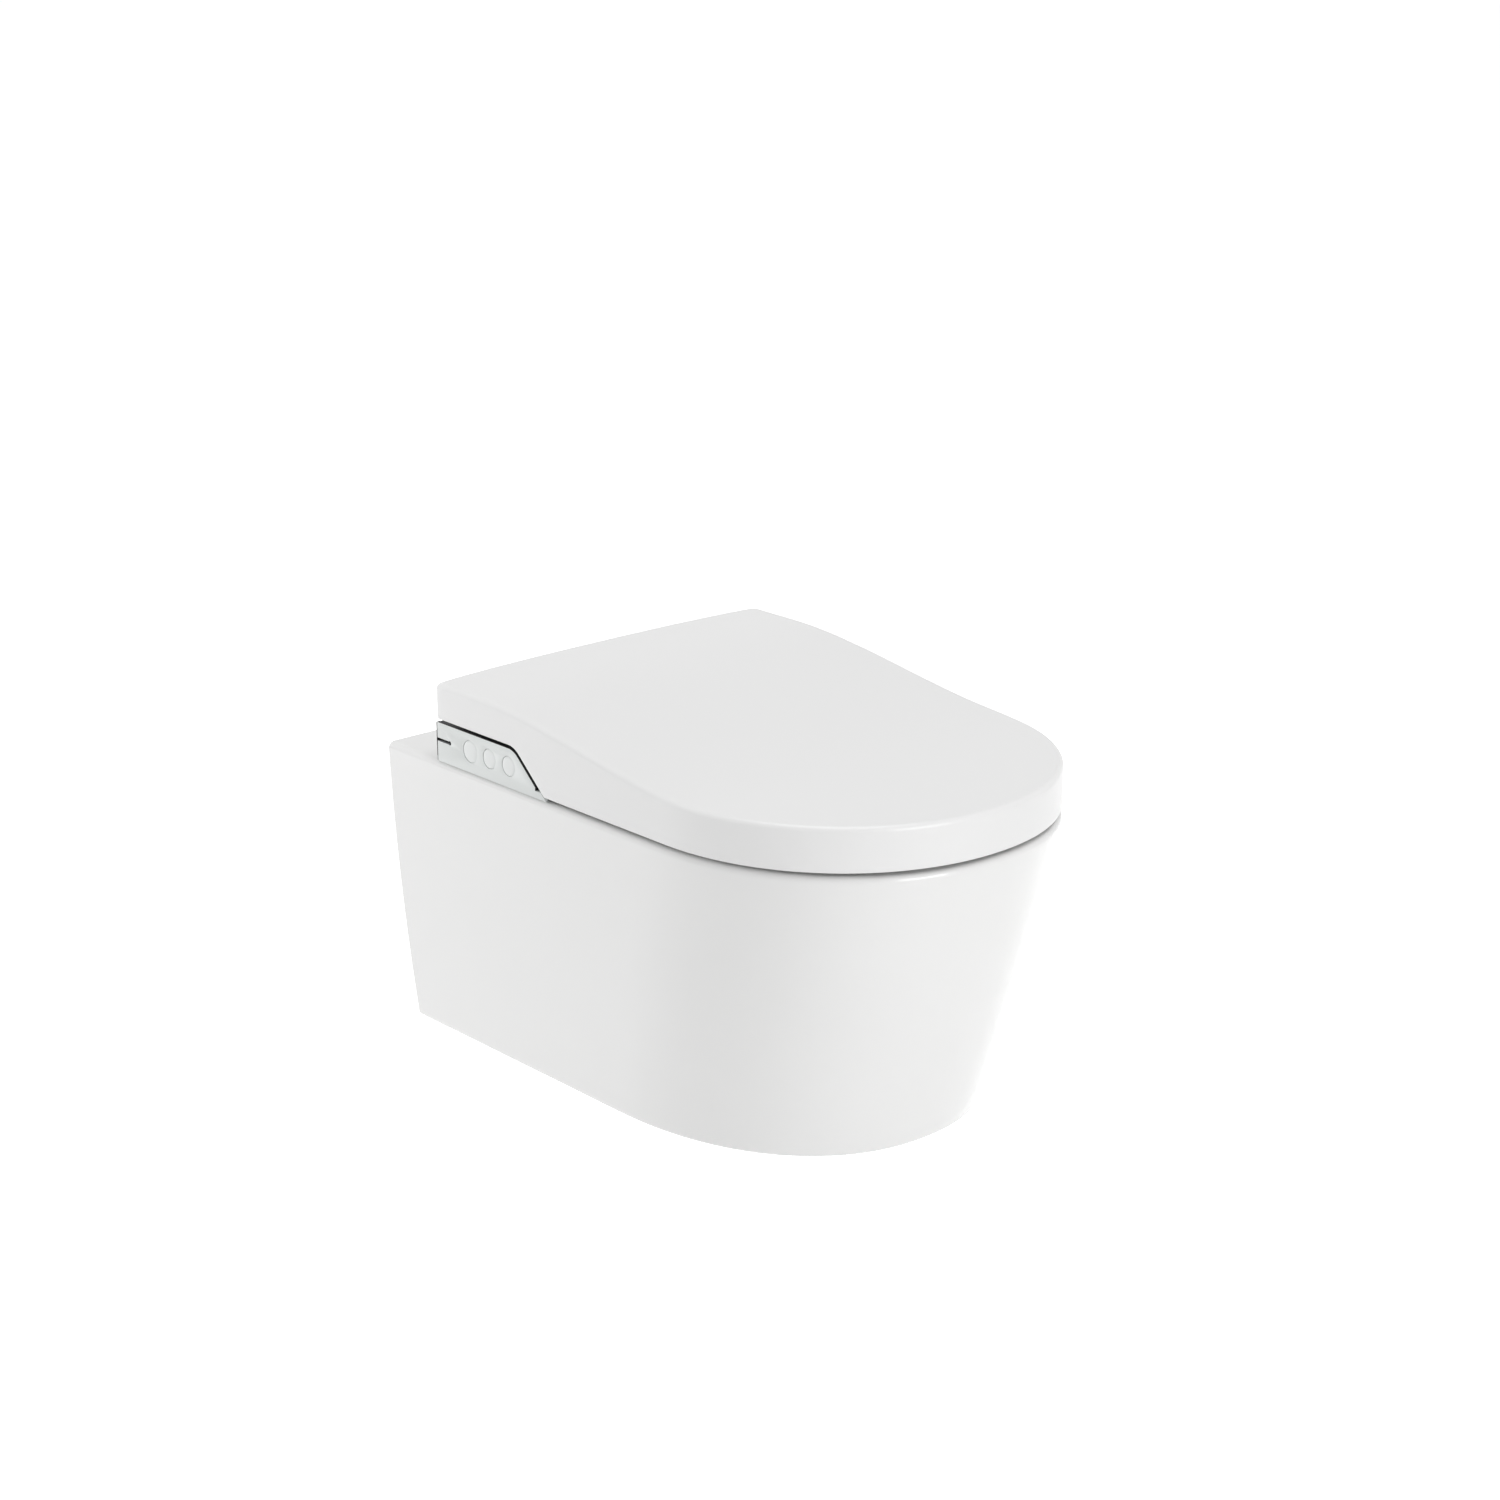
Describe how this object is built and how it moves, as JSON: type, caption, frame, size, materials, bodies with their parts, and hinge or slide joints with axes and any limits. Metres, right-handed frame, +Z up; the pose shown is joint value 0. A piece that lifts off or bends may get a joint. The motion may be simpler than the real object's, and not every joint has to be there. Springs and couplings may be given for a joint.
{
  "type": "electric bidet seat on a wall-hung pan",
  "caption": "Wall-hung D-plan ceramic pan with a built-in electric bidet seat: wave-topped lid, seat ring, sliding nozzles and side buttons.",
  "frame": {"origin": "on the wall face, midway between the two wall studs", "axes": "+Y into the wall, so the front points to -Y; +Z up; the buttons are on the -X side"},
  "size_m": [0.3682, 0.5617, 0.3361],
  "materials": {
    "glazed_ceramic": "gloss",
    "white_plastic": "gloss",
    "panel_plastic": "satin",
    "black_plastic": "satin",
    "grey_plastic": "satin",
    "smoked_window": "gloss",
    "black_rubber": "matte",
    "silicone": "matte",
    "steel": "satin",
    "brass_fitting": "satin",
    "copper_foil": "satin",
    "circuit_board": "satin"
  },
  "bodies": {
    "root": {"ceramic_pan": "glazed_ceramic", "housing_cover": "white_plastic", "nozzle_shield": "white_plastic", "stud_sleeve_left": "white_plastic", "stud_sleeve_right": "white_plastic", "side_panel_left": "panel_plastic", "side_panel_right": "panel_plastic", "housing_base": "black_plastic", "inlet_valve": "black_plastic", "power_supply": "black_plastic", "power_gland": "black_plastic", "ring_damper": "grey_plastic", "lid_damper": "grey_plastic", "nozzle_guide": "grey_plastic", "water_heater": "grey_plastic", "pump": "grey_plastic", "dryer_scroll": "grey_plastic", "dryer_duct": "grey_plastic", "presence_sensor": "smoked_window", "outlet_seal": "black_rubber", "flush_seal": "black_rubber", "deck_plug_left": "black_rubber", "deck_plug_right": "black_rubber", "heater_hose": "silicone", "nozzle_hose": "silicone", "mounting_plate": "steel", "plate_screw_left": "steel", "plate_screw_right": "steel", "stud_nut_left": "steel", "stud_nut_right": "steel", "hinge_pin_left": "steel", "hinge_pin_right": "steel", "rear_nozzle_motor": "steel", "front_nozzle_motor": "steel", "fan_motor": "steel", "water_connector": "brass_fitting", "control_board": "circuit_board", "button_board": "circuit_board"},
    "seat_ring": {"seat_ring": "white_plastic", "seat_ring_base": "white_plastic", "ring_heater": "copper_foil", "ring_bumper_rear_left": "silicone", "ring_bumper_rear_right": "silicone", "ring_bumper_front_left": "silicone", "ring_bumper_front_right": "silicone"},
    "lid": {"lid": "white_plastic", "lid_bumper_left": "silicone", "lid_bumper_right": "silicone"},
    "rear_nozzle": {"rear_wand": "steel", "rear_tip": "white_plastic"},
    "front_nozzle": {"front_wand": "steel", "front_tip": "white_plastic"},
    "rear_pinion": {"rear_pinion": "white_plastic"},
    "front_pinion": {"front_pinion": "white_plastic"},
    "button_rear": {"button_rear": "white_plastic"},
    "button_middle": {"button_middle": "white_plastic"},
    "button_front": {"button_front": "white_plastic"},
    "dryer_flap": {"dryer_flap": "white_plastic"},
    "fan_wheel": {"fan_wheel": "grey_plastic"}
  },
  "joints": [
    {"name": "seat_ring_hinge", "type": "hinge", "parent": "root", "child": "seat_ring", "pos_m": [0, -0.082, 0.132], "axis": [1, 0, 0], "range_deg": [-95, 0]},
    {"name": "lid_hinge", "type": "hinge", "parent": "seat_ring", "child": "lid", "pos_m": [0, -0.082, 0.132], "axis": [-1, 0, 0], "range_deg": [0, 95]},
    {"name": "rear_nozzle_slide", "type": "slide", "parent": "root", "child": "rear_nozzle", "axis": [0, -0.9397, -0.342], "range_m": [0, 0.09]},
    {"name": "front_nozzle_slide", "type": "slide", "parent": "root", "child": "front_nozzle", "axis": [0, -0.9397, -0.342], "range_m": [0, 0.09]},
    {"name": "rear_pinion_spin", "type": "hinge", "parent": "root", "child": "rear_pinion", "pos_m": [-0.011, -0.19572, 0.11336], "axis": [1, 0, 0], "range_deg": [-860, 0]},
    {"name": "front_pinion_spin", "type": "hinge", "parent": "root", "child": "front_pinion", "pos_m": [0.011, -0.19572, 0.11336], "axis": [1, 0, 0], "range_deg": [-860, 0]},
    {"name": "button_rear_press", "type": "slide", "parent": "root", "child": "button_rear", "axis": [1, 0, 0], "range_m": [0, 0.0015], "stiffness_N_per_m": 600, "springref_m": -0.001},
    {"name": "button_middle_press", "type": "slide", "parent": "root", "child": "button_middle", "axis": [1, 0, 0], "range_m": [0, 0.0015], "stiffness_N_per_m": 600, "springref_m": -0.001},
    {"name": "button_front_press", "type": "slide", "parent": "root", "child": "button_front", "axis": [1, 0, 0], "range_m": [0, 0.0015], "stiffness_N_per_m": 600, "springref_m": -0.001},
    {"name": "dryer_flap_hinge", "type": "hinge", "parent": "root", "child": "dryer_flap", "pos_m": [0.071, -0.2179, 0.1032], "axis": [-1, 0, 0], "range_deg": [0, 60]},
    {"name": "fan_wheel_spin", "type": "hinge", "parent": "root", "child": "fan_wheel", "pos_m": [0.071, -0.148, 0.109], "axis": [1, 0, 0], "continuous": true}
  ],
  "couplings": [
    {"joint": "rear_pinion_spin", "follows": "rear_nozzle_slide", "rad_per_m": -166.67},
    {"joint": "front_pinion_spin", "follows": "front_nozzle_slide", "rad_per_m": -166.67}
  ]
}
